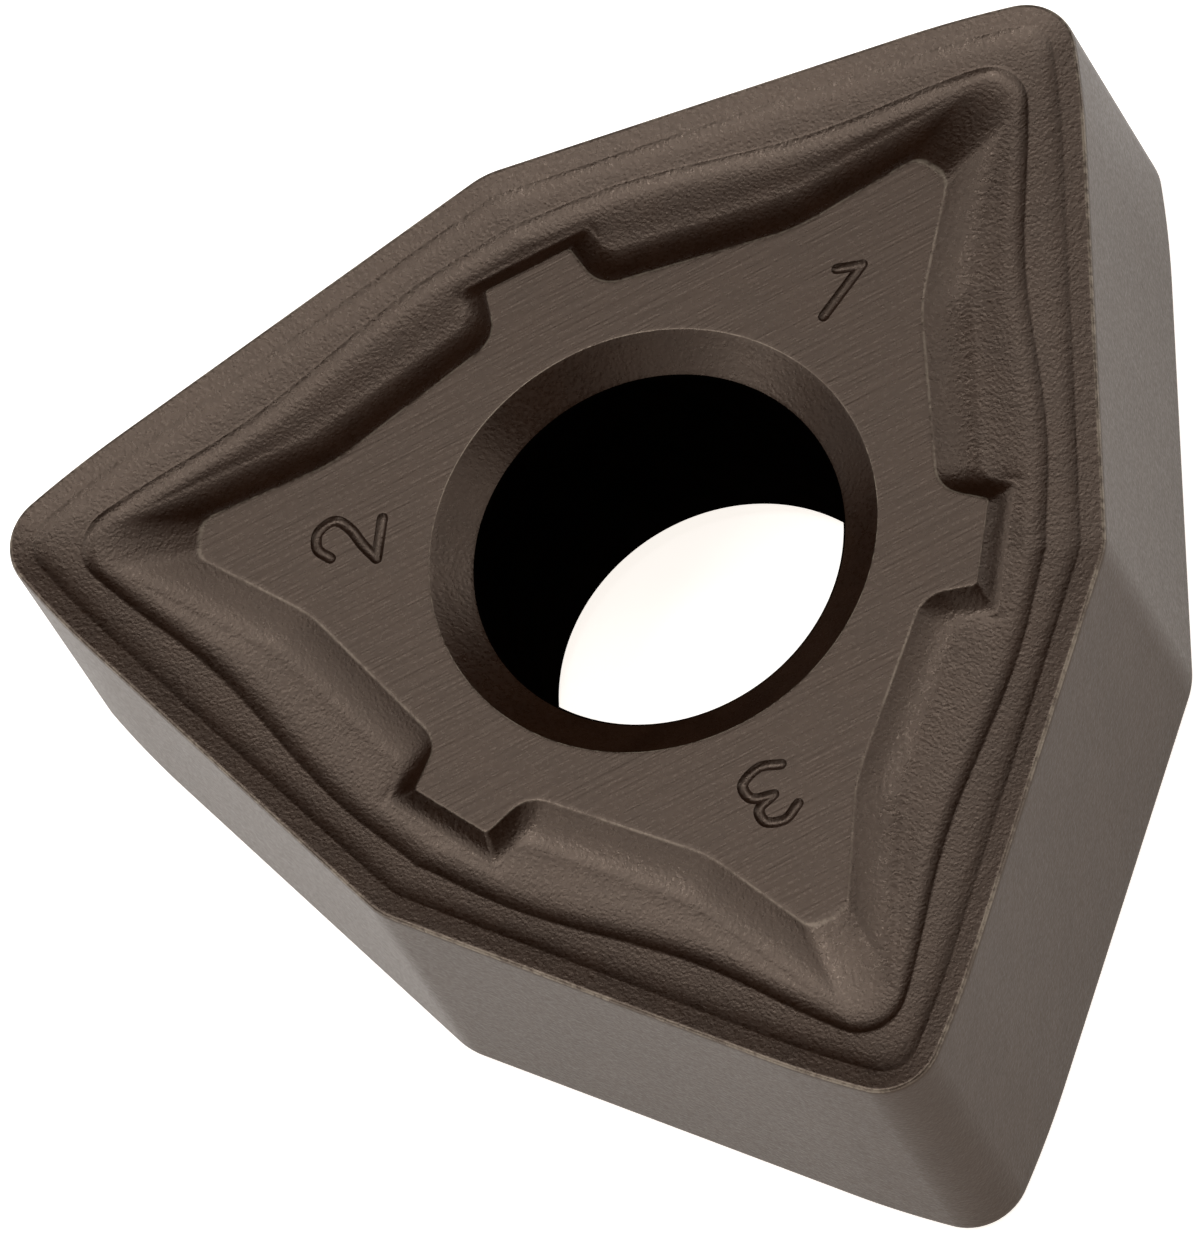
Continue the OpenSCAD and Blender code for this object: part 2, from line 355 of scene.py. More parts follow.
@dataclass(frozen=True)
class Seat:
    """Flat ground seat, with a nose toward each cutting nose and a tab toward each blunt corner."""

    tip_gap: float = 2.79
    tip_w: float = 0.56
    tip_r: float = 0.3
    nose_angle: float = 26
    waist_r: float = 2.4
    inset: float = 2.31
    lean: float = 2
    tab_gap: float = 1.74
    tab_w: float = 1.29
    tab_taper: float = 11.5
    tab_corner_r: float = 0.07
    tab_root_r: float = 0.48

    def tab_corner(self, plate: Plate) -> Vector:
        """Sharp outer corner of the tab."""
        return ((plate.sharp_blunt - self.tab_gap) * aim(plate.half_pitch)
                + self.tab_w / 2 * aim(plate.half_pitch - 90))

    def path(self, plate: Plate) -> Path:
        """Outline of the seat along half of a side, from the nose's centre line to the tab's.

        Args:
            plate: The plate that carries it.

        Returns:
            The path in the plane.
        """
        tip = plate.nose_tip - self.tip_gap
        tip_corner = Vector((tip, self.tip_w / 2))
        side = (plate.inscribed_r - self.inset) * aim(plate.side_angle)
        side_slope = plate.side_angle + 90 - self.lean
        tab_slope = plate.half_pitch + self.tab_taper
        corner = self.tab_corner(plate)
        corners = [Vector((tip, 0.0)), tip_corner,
                   meet(tip_corner, 180 - self.nose_angle, side, side_slope),
                   meet(side, side_slope, corner, tab_slope), corner,
                   (plate.sharp_blunt - self.tab_gap) * aim(plate.half_pitch)]
        return Path(corners, (0, self.tip_r, self.waist_r, self.tab_root_r, self.tab_corner_r, 0))


@dataclass(frozen=True)
class Wall:
    """Foot of the seat's wall, which ends in the spur that points at the cutting nose."""

    spur_gap: float = 1.33
    spur_tip_w: float = 0.56
    spur_angle: float = 26.5
    spur_tip_r: float = 0.42
    spur_root_r: float = 0.8
    inset: float = 1.71
    end_r: float = 0.3
    tab_side_run: float = 0.4
    tab_end_run: float = 0.32
    tab_foot_r: float = 0.1
    curve: float = 1.6

    def path(self, plate: Plate, seat: Seat) -> Path:
        """Outline of the foot along half of a side, with as many corners as the seat's.

        Args:
            plate: The plate that carries it.
            seat: The seat that the wall leads up to.

        Returns:
            The path in the plane.
        """
        tip = plate.nose_tip - self.spur_gap
        tip_corner = Vector((tip, self.spur_tip_w / 2))
        side = (plate.inscribed_r - self.inset) * aim(plate.side_angle)
        side_slope = plate.side_angle + 90
        tab_slope = plate.half_pitch + seat.tab_taper
        tab_side = seat.tab_corner(plate) + self.tab_side_run * aim(tab_slope - 90)
        end = (plate.sharp_blunt - seat.tab_gap + self.tab_end_run) * aim(plate.half_pitch)
        corners = [Vector((tip, 0.0)), tip_corner,
                   meet(tip_corner, 180 - self.spur_angle, side, side_slope),
                   meet(side, side_slope, tab_side, tab_slope),
                   meet(tab_side, tab_slope, end, plate.half_pitch - 90), end]
        return Path(corners, (0, self.spur_tip_r, self.spur_root_r, self.end_r, self.tab_foot_r, 0))


class Zone(Enum):
    """Zones of the surface, each with its own finish."""

    BORE = 0
    COUNTERSINK = 1
    SEAT = 2
    PRESSED = 3
    FLANK = 4


@dataclass(frozen=True)
class Row:
    """One closed row of points round the plate, with the finish of the strip that leads to it.

    The crevice shade, from 0 to 1, paints shade into the colour of the grooves' banks, and the wear,
    from 0 to 1, pales worn edges and paints a highlight line along them. The sag is the share in which
    the row sinks where the spur's foot runs down into the groove.
    """

    place: Place
    height: float
    zone: Zone
    painted_crevice_shade: float = 0.0
    wear_and_highlight: float = 0.0
    sag: float = 0.0


@dataclass
class Insert:
    """The one pressed and sintered piece, lofted row by row from the bore's middle to the flank's.

    The shares place the rows, from 0 to 1 across each part of the section, and the stretches are those of
    the seat's and the foot's paths.
    """

    plate: Plate = field(default_factory=Plate)
    hole: Hole = field(default_factory=Hole)
    edge: Edge = field(default_factory=Edge)
    grooves: Grooves = field(default_factory=Grooves)
    seat: Seat = field(default_factory=Seat)
    wall: Wall = field(default_factory=Wall)
    nose_count: int = 3
    stretch_steps: Sequence[int] = (4, 6, 34, 8, 14, 8, 7, 6, 16)
    stretch_powers: Sequence[float] = (1, 1, 1.6, 1, 1, 1, 1, 1, 1)
    end_power: float = 1.5
    tab_root_stretch: int = 5
    outer_drift: float = 0.1
    tab_ease: float = 0.55
    bore_share: float = 0.95
    cone_shares: Sequence[float] = (0.1, 0.9)
    hole_fillet_steps: int = 4
    seat_share: float = 0.3
    cone_rim_stretch: int = 3
    rim_share: float = 0.035
    rim_turns: Sequence[float] = (1, 0.33, -0.33, -1)
    wall_shares: Sequence[float] = (
        0.93, 0.86, 0.77, 0.68, 0.59, 0.5, 0.42, 0.34, 0.27, 0.2, 0.14, 0.08, 0.04, 0)
    floor_shares: Sequence[float] = (0.12, 0.3, 0.5, 0.7, 0.88, 1)
    second_shares: Sequence[float] = (0.85, 0.7, 0.56, 0.43, 0.31, 0.2, 0.11, 0.04, 0)
    first_shares: Sequence[float] = (0.95, 0.85, 0.7, 0.55, 0.42, 0.31, 0.22, 0.14, 0.08, 0.03, 0)
    land_shares: Sequence[float] = (0.95, 0.85, 0.6, 0.3, 0.1)
    hone_turns: Sequence[float] = (0, 18, 36, 54, 72, 90)
    hone_worn_and_lit_to: float = 60
    flank_steps: Sequence[float] = (1.6, 4)
    rim_wear_and_highlight: float = 0.75
    rim_end_wear_and_highlight: float = 0.5
    flank_wear_and_highlight: float = 0.4
    sag_full: float = 0.32
    sag_none: float = 0.65
    mirror_gap: float = 1e-4
    weld_gap: float = 1e-5
    sliver_w: float = 0.0002
    sharp_angle: float = 40

    def __post_init__(self) -> None:
        """Works out the two paths and the stations of half a side."""
        self.seat_path = self.seat.path(self.plate)
        self.foot_path = self.wall.path(self.plate, self.seat)
        self.stations: list[tuple[int, float]] = []
        last = len(self.stretch_steps) - 1
        for stretch, steps in enumerate(self.stretch_steps):
            for i in range(steps):
                share = (i / steps) ** self.stretch_powers[stretch]
                if stretch == last:
                    share = 1 - (1 - i / steps) ** self.end_power
                self.stations.append((stretch, share))
        self.stations.append((last, 1.0))
        self.count = len(self.stations) - 1
        self.inner = self.hole_bearings()
        self.outer = self.edge_bearings()
        self.sags = [self.foot_sag(i) for i in range(self.count + 1)]

    def hole_bearings(self) -> list[float]:
        """Bearings of the stations round the hole, evenly eased behind the tab, whose sides point at it.

        Returns:
            One bearing in degrees for each station.
        """
        root = self.stations.index((self.tab_root_stretch, 0.0))
        start = bearing(self.seat_path.point(self.tab_root_stretch, 0.0))
        bearings = [bearing(self.seat_path.point(*station)) for station in self.stations[:root]]
        for i in range(root, self.count + 1):
            share = (i - root) / (self.count - root)
            bearings.append(start + (self.plate.half_pitch - start) * share ** self.tab_ease)
        return bearings

    def edge_bearings(self) -> list[float]:
        """Bearings of the stations along the cutting edge, part of the way to an even spacing."""
        even = self.plate.half_pitch / self.count
        bearings = [bearing(self.foot_path.point(*station)) for station in self.stations]
        return [(1 - self.outer_drift) * t + self.outer_drift * even * i for i, t in enumerate(bearings)]

    def circle_row(self, radius: float) -> Place:
        """Place of the stations on a circle round the axis."""
        return lambda i: radius * aim(self.inner[i])

    def wall_row(self, share: float) -> Place:
        """Place of the stations on the wall, from 0 at its foot to 1 at the seat."""
        path = self.foot_path.toward(self.seat_path, share)
        return lambda i: path.point(*self.stations[i])

    def groove_places(self, i: int) -> tuple[Vector, Vector, Vector, Vector]:
        """Places of one station at the wall's foot, the second groove's bottom, its crest and the land.

        Args:
            i: Number of the station.

        Returns:
            The four places in the plane, from the inside out.
        """
        t = self.outer[i]
        foot = self.foot_path.point(*self.stations[i])
        crest = self.grooves.crest(self.plate, t) * aim(t)
        room = (crest - foot).length
        width = min(self.grooves.width, self.grooves.room_share * room)
        land = self.plate.reach(t, self.edge.land_inset(self.plate, t)) * aim(t)
        return foot, crest.lerp(foot, width / room), crest, land

    def foot_sag(self, i: int) -> float:
        """How far the wall's foot sinks at a station: to the groove's bottom where it meets the groove."""
        foot, _, crest, _ = self.groove_places(i)
        nearness = ((crest - foot).length - self.sag_full) / (self.sag_none - self.sag_full)
        return blend(self.grooves.bottom_drop - self.plate.floor_drop, 0.0, nearness)

    def groove_row(self, first: int, share: float) -> Place:
        """Place of the stations at a share of the way from one of their groove places to the next."""
        return lambda i: Vector.lerp(*self.groove_places(i)[first:first + 2], share)

    def edge_row(self, inset: Callable[[float], float]) -> Place:
        """Place of the stations at an inset that may change with the bearing."""
        return lambda i: self.plate.reach(self.outer[i], inset(self.outer[i])) * aim(self.outer[i])

    def hole_rows(self) -> list[Row]:
        """Rows of the bore and the countersink, up to the seat.

        Returns:
            The rows, from the middle of the bore.
        """
        top = self.plate.seat_z
        cone_z = top - self.hole.countersink_depth
        section = Path([Vector((self.hole.bore_r, 0.0)), Vector((self.hole.bore_r, cone_z)),
                        Vector((self.hole.rim_r, top)), Vector((self.hole.rim_r + self.hole.support, top))],
                       (0, self.hole.bore_edge_r, self.hole.rim_edge_r, 0))
        rounding = [k / self.hole_fillet_steps for k in range(self.hole_fillet_steps + 1)]
        stretches = ((Zone.BORE, (0, self.bore_share)), (Zone.BORE, rounding),
                     (Zone.COUNTERSINK, self.cone_shares), (Zone.COUNTERSINK, rounding),
                     (Zone.SEAT, (self.seat_share,)))
        rows = []
        for stretch, (zone, shares) in enumerate(stretches):
            for share in shares:
                point = section.point(stretch, share)
                # The countersink's rounded rim is worn and has a highlight painted along it.
                worn_and_lit = 1.0 if stretch == self.cone_rim_stretch and 0 < share < 1 else 0.0
                rows.append(Row(self.circle_row(point.x), point.y, zone, wear_and_highlight=worn_and_lit))
        return rows

    def wall_rows(self) -> list[Row]:
        """Rows from the seat's rounded rim down the wall to its foot.

        Returns:
            The rows, from the inside out.
        """
        rise = self.plate.seat_z - self.plate.floor_z
        slope = rise * self.wall.curve
        rows = [Row(self.wall_row(1 + 3 * self.rim_share), self.plate.seat_z, Zone.SEAT)]
        for turn in self.rim_turns:
            share = 1 + turn * self.rim_share
            drop = slope * self.rim_share * (1 - turn) ** 2 / 4
            zone = Zone.SEAT if turn == 1 else Zone.PRESSED
            sag = max(0.0, 1 - share ** self.wall.curve)
            # The seat's rounded rim is worn and has a highlight painted along it.
            worn_and_lit = self.rim_end_wear_and_highlight if abs(turn) == 1 else self.rim_wear_and_highlight
            rows.append(Row(self.wall_row(share), self.plate.seat_z - drop, zone, wear_and_highlight=worn_and_lit, sag=sag))
        for share in self.wall_shares:
            up = share ** self.wall.curve
            rows.append(Row(self.wall_row(share), self.plate.floor_z + rise * up, Zone.PRESSED, sag=1 - up))
        return rows

    def groove_rows(self) -> list[Row]:
        """Rows of the pocket's floor and both grooves, out to the land.

        Returns:
            The rows, from the inside out.
        """
        edge_z = self.plate.edge_z
        rows = []
        for share in self.floor_shares:
            drop = blend(self.plate.floor_drop, self.grooves.bottom_drop, share)
            rows.append(Row(self.groove_row(0, share), edge_z - drop, Zone.PRESSED, sag=blend(1, 0, share)))
        for share in self.second_shares:
            # Painted shade: the steep bank just below the crest is darkened in colour.
            painted_crevice_shade = (1 - share) ** self.grooves.second_curve if share else 0.0
            rows.append(Row(self.groove_row(1, 1 - share), edge_z - self.grooves.second_drop(share),
                            Zone.PRESSED, painted_crevice_shade=painted_crevice_shade))
        for share in self.first_shares:
            # Painted shade: the steep bank just inside the land is darkened in colour.
            painted_crevice_shade = (1 - share) ** self.grooves.first_curve if share else 0.0
            drop = self.grooves.first_drop(self.edge.land_drop, share)
            rows.append(Row(self.groove_row(2, 1 - share), edge_z - drop, Zone.PRESSED, painted_crevice_shade=painted_crevice_shade))
        return rows

    def edge_rows(self) -> list[Row]:
        """Rows of the land, the honed edge and the flank.

        Returns:
            The rows, from the inside out and then down to the middle of the flank.
        """
        edge = self.edge
        edge_z = self.plate.edge_z
        rows = []
        for share in self.land_shares:
            place = self.edge_row(
                lambda t, k=share: edge.hone + (edge.land_inset(self.plate, t) - edge.hone) * k)
            rows.append(Row(place, edge_z - edge.land_drop * share, Zone.PRESSED))
        for turn in self.hone_turns:
            inset = edge.hone * (1 - math.sin(math.radians(turn)))
            drop = edge.hone_height * (1 - math.cos(math.radians(turn)))
            # The hone's upper rows are worn and have a highlight painted along them; the flank's rows less.
            on_top = turn < self.hone_worn_and_lit_to
            rows.append(Row(self.edge_row(lambda t, d=inset: d), edge_z - drop,
                            Zone.PRESSED if on_top else Zone.FLANK, wear_and_highlight=1.0 if on_top else self.flank_wear_and_highlight))
        for height in [edge_z - step * edge.hone_height for step in self.flank_steps] + [0.0]:
            rows.append(Row(self.edge_row(lambda t: 0.0), height, Zone.FLANK))
        return rows

    def ring_place(self, row: Row, index: int) -> Vector:
        """Place of one point of a row.

        Args:
            row: The row.
            index: Number of the point round the plate, from the first nose.

        Returns:
            The point in millimetres.
        """
        half, step = divmod(index, self.count)
        flipped = half % 2 == 1
        local = row.place(self.count - step if flipped else step)
        axis = 90 + 2 * self.plate.half_pitch * ((half + 1) // 2)
        turned = Matrix.Rotation(math.radians(axis), 2) @ Vector((local.x, -local.y if flipped else local.y))
        sunk = row.sag * self.sags[self.count - step if flipped else step]
        return Vector((turned.x, turned.y, row.height - sunk))

    def loft(self) -> bmesh.types.BMesh:
        """Upper half of the insert, extruded row by row from a circle in the bore.

        Returns:
            The open shell in millimetres.
        """
        bm = bmesh.new()
        number = bm.verts.layers.int.new("station")
        # Layers for the painted shade on the grooves' banks and for wear with a painted highlight along the
        # edges.
        painted_crevice_shade = bm.verts.layers.float.new("painted_crevice_shade")
        wear_and_highlight = bm.verts.layers.float.new("wear_and_highlight")
        nearest_edge = bm.verts.layers.float_vector.new("edge_point")
        size = 2 * self.nose_count * self.count
        ring = bmesh.ops.create_circle(bm, segments=size, radius=1)["verts"]
        outline = Row(self.edge_row(lambda t: 0.0), 0.0, Zone.FLANK)
        for i, vert in enumerate(ring):
            vert[number] = i
            vert[nearest_edge] = self.ring_place(outline, i)
        edges = list(bm.edges)
        rows = self.hole_rows() + self.wall_rows() + self.groove_rows() + self.edge_rows()
        for level, row in enumerate(rows):
            if level:
                ring, edges = extrude_ring(bm, edges)
                for edge in edges:
                    face = edge.link_faces[0]
                    face.material_index = row.zone.value
                    face.smooth = True
            for vert in ring:
                vert.co = self.ring_place(row, vert[number])
                vert[painted_crevice_shade] = row.painted_crevice_shade
                vert[wear_and_highlight] = row.wear_and_highlight
        return bm

    def close_shell(self, bm: bmesh.types.BMesh) -> None:
        """Mirrors the upper half onto the lower face and turns every face outward."""
        geometry = bm.verts[:] + bm.edges[:] + bm.faces[:]
        bmesh.ops.mirror(bm, geom=geometry, axis="Z", merge_dist=self.mirror_gap)
        bmesh.ops.remove_doubles(bm, verts=bm.verts[:], dist=self.weld_gap)
        bmesh.ops.recalc_face_normals(bm, faces=bm.faces[:])

    def dissolve_slivers(self, mesh: bpy.types.Mesh) -> None:
        """Dissolves the slivers that cutting leaves in a mesh."""
        bm = bmesh.new()
        bm.from_mesh(mesh)
        bmesh.ops.dissolve_degenerate(bm, dist=self.sliver_w, edges=bm.edges[:])
        bm.to_mesh(mesh)
        bm.free()

    def build(self, materials: Materials, numbers: "Numbers") -> bpy.types.Object:
        """Makes the finished piece.

        Args:
            materials: One material for each zone, in the order of Zone.
            numbers: The numbers that are sunk into both seats.

        Returns:
            The piece, in metres, with its place in its mesh.
        """
        bm = self.loft()
        self.close_shell(bm)
        piece = to_object("insert_body", bm, materials)
        for cutter in numbers.cutters(self.plate, materials):
            sink(piece, cutter)
        self.dissolve_slivers(piece.data)
        piece.data.set_sharp_from_angle(angle=math.radians(self.sharp_angle))
        piece.data.transform(Matrix.Scale(MM, 4))
        return piece


def extrude_ring(bm: bmesh.types.BMesh, edges: Sequence[bmesh.types.BMEdge]) -> tuple[list, list]:
    """Extrudes a closed ring of edges in place.

    Args:
        bm: The mesh that holds the ring.
        edges: The ring's edges.

    Returns:
        The new ring's points and its edges.
    """
    made = bmesh.ops.extrude_edge_only(bm, edges=edges)["geom"]
    points = [part for part in made if isinstance(part, bmesh.types.BMVert)]
    return points, [part for part in made if isinstance(part, bmesh.types.BMEdge) and part.is_boundary]


def to_scene(name: str, data: bpy.types.ID) -> bpy.types.Object:
    """Makes an object of a mesh, a light or a camera and puts it in the scene."""
    made = bpy.data.objects.new(name, data)
    bpy.context.scene.collection.objects.link(made)
    return made


def to_object(name: str, bm: bmesh.types.BMesh, materials: Materials) -> bpy.types.Object:
    """Puts a bmesh into a new object of the scene and frees it.

    Args:
        name: Name of the object and its mesh.
        bm: The mesh to take over.
        materials: The object's material slots.

    Returns:
        The new object.
    """
    mesh = bpy.data.meshes.new(name)
    bm.to_mesh(mesh)
    bm.free()
    for material in materials:
        mesh.materials.append(material)
    return to_scene(name, mesh)


def sink(piece: bpy.types.Object, cutter: bpy.types.Object) -> None:
    """Cuts one object's shape out of another and deletes the cutter.

    Args:
        piece: The object that keeps the hollow.
        cutter: The object whose shape is cut out.
    """
    modifier = piece.modifiers.new("sink", "BOOLEAN")
    modifier.operation = "DIFFERENCE"
    modifier.solver = "EXACT"
    modifier.object = cutter
    graph = bpy.context.evaluated_depsgraph_get()
    cut = bpy.data.meshes.new_from_object(piece.evaluated_get(graph))
    piece.modifiers.remove(modifier)
    old = piece.data
    piece.data = cut
    bpy.data.meshes.remove(old)
    bpy.data.objects.remove(cutter)


@dataclass(frozen=True)
class Numbers:
    """Plain numbers pressed into the seats, one beside each nose, read from the hole outward.

    The strokes are drawn on a square of side 100, which the width and the height stretch.
    """

    middle_r: float = 4.38
    height: float = 0.9
    width: float = 0.78
    stroke_r: float = 0.088
    lift: float = 0.03
    sides: int = 14
    steps: int = 6
    cap_angles: Sequence[float] = (30, 55, 80)
    # Share of painted shade in the numbers' hollows.
    shade: float = 0.5
    noses: int = 3

    STROKES = {
        1: (((20, 74), (52, 97)), ((55, 100), (55, 0))),
        2: (((12, 74), (30, 97), (62, 99), (84, 76), (70, 50), (38, 25), (12, 0)),
            ((12, 0), (90, 0))),
        3: (((14, 86), (45, 100), (78, 90), (80, 65), (46, 53)),
            ((46, 53), (84, 42), (88, 14), (50, 0), (12, 12))),
        4: (((68, 100), (12, 32)), ((12, 32), (92, 32)), ((68, 100), (68, 0))),
        5: (((82, 100), (26, 100)), ((26, 100), (20, 56)),
            ((20, 56), (55, 64), (86, 44), (82, 12), (48, 0), (14, 10))),
        6: (((76, 97), (40, 78), (18, 42), (22, 10), (50, 0), (80, 12), (82, 42)),
            ((82, 42), (56, 56), (24, 42))),
    }

    def smooth(self, points: Sequence[Vector]) -> list[Vector]:
        """Smooth line through a few points of a stroke.

        Args:
            points: The points. Two of them give a straight line.

        Returns:
            The points of the smooth line.
        """
        if len(points) == 2:
            return list(points)
        line = []
        for i in range(len(points) - 1):
            before = points[i - 1] if i else 2 * points[0] - points[1]
            after = points[i + 2] if i + 2 < len(points) else 2 * points[-1] - points[-2]
            for k in range(self.steps):
                t = k / self.steps
                line.append(0.5 * (2 * points[i] + (points[i + 1] - before) * t
                                   + (2 * before - 5 * points[i] + 4 * points[i + 1] - after) * t * t
                                   + (3 * points[i] - before - 3 * points[i + 1] + after) * t ** 3))
        line.append(points[-1])
        return line

    def stroke(self, bm: bmesh.types.BMesh, line: Sequence[Vector], height: float) -> None:
        """Round-ended tube along a line, extruded ring by ring from a circle.

        Args:
            bm: The mesh that the tube is added to.
            line: The plan points of the stroke in millimetres.
            height: Height of its centre line.
        """
        start = (line[1] - line[0]).normalized()
        end = (line[-1] - line[-2]).normalized()
        caps = [(self.stroke_r * math.sin(math.radians(a)), math.cos(math.radians(a)))
                for a in self.cap_angles]
        rings = [(line[0] - start * out, start, share) for out, share in reversed(caps)]
        for i, point in enumerate(line):
            heading = line[min(i + 1, len(line) - 1)] - line[max(i - 1, 0)]
            rings.append((point, heading.normalized(), 1.0))
        rings += [(line[-1] + end * out, end, share) for out, share in caps]
        edges: list[bmesh.types.BMEdge] = []
        for level, (centre, heading, share) in enumerate(rings):
            number = bm.verts.layers.int["station"]
            if level:
                ring, edges = extrude_ring(bm, edges)
            else:
                ring = bmesh.ops.create_circle(bm, cap_ends=True, segments=self.sides, radius=1)["verts"]
                edges = list({edge for vert in ring for edge in vert.link_edges})
                for i, vert in enumerate(ring):
                    vert[number] = i
            side = Vector((-heading.y, heading.x))
            for vert in ring:
                a = 2 * math.pi * vert[number] / self.sides
                across = side * math.cos(a) * self.stroke_r * share
                vert.co = (centre.x + across.x, centre.y + across.y,
                           height + math.sin(a) * self.stroke_r * share)
        bmesh.ops.contextual_create(bm, geom=edges)

    def cutters(self, plate: Plate, materials: Materials) -> list[bpy.types.Object]:
        """Objects that cut the numbers, each with one stroke of every number.

        Args:
            plate: The plate that carries them.
            materials: The material slots of the piece.

        Returns:
            The cutters in millimetres.
        """
        made = []
        for layer in range(max(len(strokes) for strokes in self.STROKES.values())):
            bm = bmesh.new()
            bm.verts.layers.int.new("station")
            painted_crevice_shade = bm.verts.layers.float.new("painted_crevice_shade")
            for digit, strokes in self.STROKES.items():
                if layer < len(strokes):
                    self.stroke(bm, self.place(digit, strokes[layer]), self.level(plate, digit))
            # Painted shade: the numbers' hollows are darkened in colour.
            for vert in bm.verts:
                vert[painted_crevice_shade] = self.shade
            for face in bm.faces:
                face.material_index = Zone.PRESSED.value
                face.smooth = True
            bmesh.ops.recalc_face_normals(bm, faces=bm.faces[:])
            made.append(to_object(f"number_strokes_{layer}", bm, materials))
        return made

    def face(self, digit: int) -> int:
        """Face that a number is on: 1 on top for the first three, and -1 below for the others."""
        return 1 if digit <= self.noses else -1

    def level(self, plate: Plate, digit: int) -> float:
        """Height of a number's centre line."""
        return (plate.seat_z + self.lift) * self.face(digit)

    def place(self, digit: int, points: Sequence[tuple[int, int]]) -> list[Vector]:
        """Plan line of one stroke, turned to its nose.

        Args:
            digit: The number that the stroke belongs to.
            points: The stroke's points on the square of side 100.

        Returns:
            The line's points in millimetres.
        """
        turned = math.radians(360 / self.noses * ((digit - 1) % self.noses))
        width = self.width * self.face(digit)
        local = [Vector(((x / 100 - 0.5) * width, (y / 100 - 0.5) * self.height)) for x, y in points]
        centred = [Vector((p.x, self.middle_r + p.y)) for p in self.smooth(local)]
        return [Matrix.Rotation(turned, 2) @ p for p in centred]


class Nodes:
    """Adds and links the nodes of one material."""

    def __init__(self, name: str) -> None:
        """Starts a material of that name with no nodes but its output."""
        self.material = bpy.data.materials.new(name)
        self.material.use_nodes = True
        self.tree = self.material.node_tree
        self.tree.nodes.clear()
        self.output = self.tree.nodes.new("ShaderNodeOutputMaterial")

    def add(self, kind: str, inputs: dict | None = None, **settings: object) -> bpy.types.Node:
        """Adds one node.

        Args:
            kind: Blender's name for the node, without its ShaderNode prefix.
            inputs: A value or another node's output for each named or numbered input.
            settings: The node's own properties.

        Returns:
            The new node.
        """
        node = self.tree.nodes.new("ShaderNode" + kind)
        for key, value in settings.items():
            setattr(node, key, value)
        for key, value in (inputs or {}).items():
            if isinstance(value, Socket):
                self.tree.links.new(value, node.inputs[key])
            else:
                node.inputs[key].default_value = value
        return node

    def math(self, operation: str, a: object, b: object) -> Socket:
        """Result of one sum of two values."""
        return self.add("Math", {0: a, 1: b}, operation=operation).outputs[0]

    def noise(self, vector: Socket, scale: float, detail: float = 2.0, rough: float = 0.5) -> Socket:
        """Noise from about 0 to 1, whose scale is the number of grains to a unit of length."""
        made = self.add("TexNoise", {"Vector": vector, "Scale": scale, "Detail": detail, "Roughness": rough})
        return made.outputs["Fac"]

    def stretch(self, vector: Socket, scale: Sequence[float]) -> Socket:
        """Coordinates scaled by a different amount along each axis."""
        return self.add("Mapping", {"Vector": vector, "Scale": scale}).outputs[0]

    def ramp(self, value: Socket, low: float, high: float, start: float = 0.0,
             end: float = 1.0) -> Socket:
        """Value carried smoothly from one range to another and held at its ends."""
        made = self.add("MapRange", {"Value": value, "From Min": low, "From Max": high, "To Min": start,
                                     "To Max": end}, interpolation_type="SMOOTHSTEP")
        return made.outputs[0]

    def mix(self, share: object, a: object, b: object) -> Socket:
        """Mix of two colours."""
        return self.add("MixRGB", {0: share, 1: a, 2: b}).outputs[0]

    def finish(self, inputs: dict) -> bpy.types.Material:
        """Ends the material with a shader that has these inputs."""
        shader = self.add("BsdfPrincipled", inputs)
        self.tree.links.new(shader.outputs[0], self.output.inputs["Surface"])
        return self.material


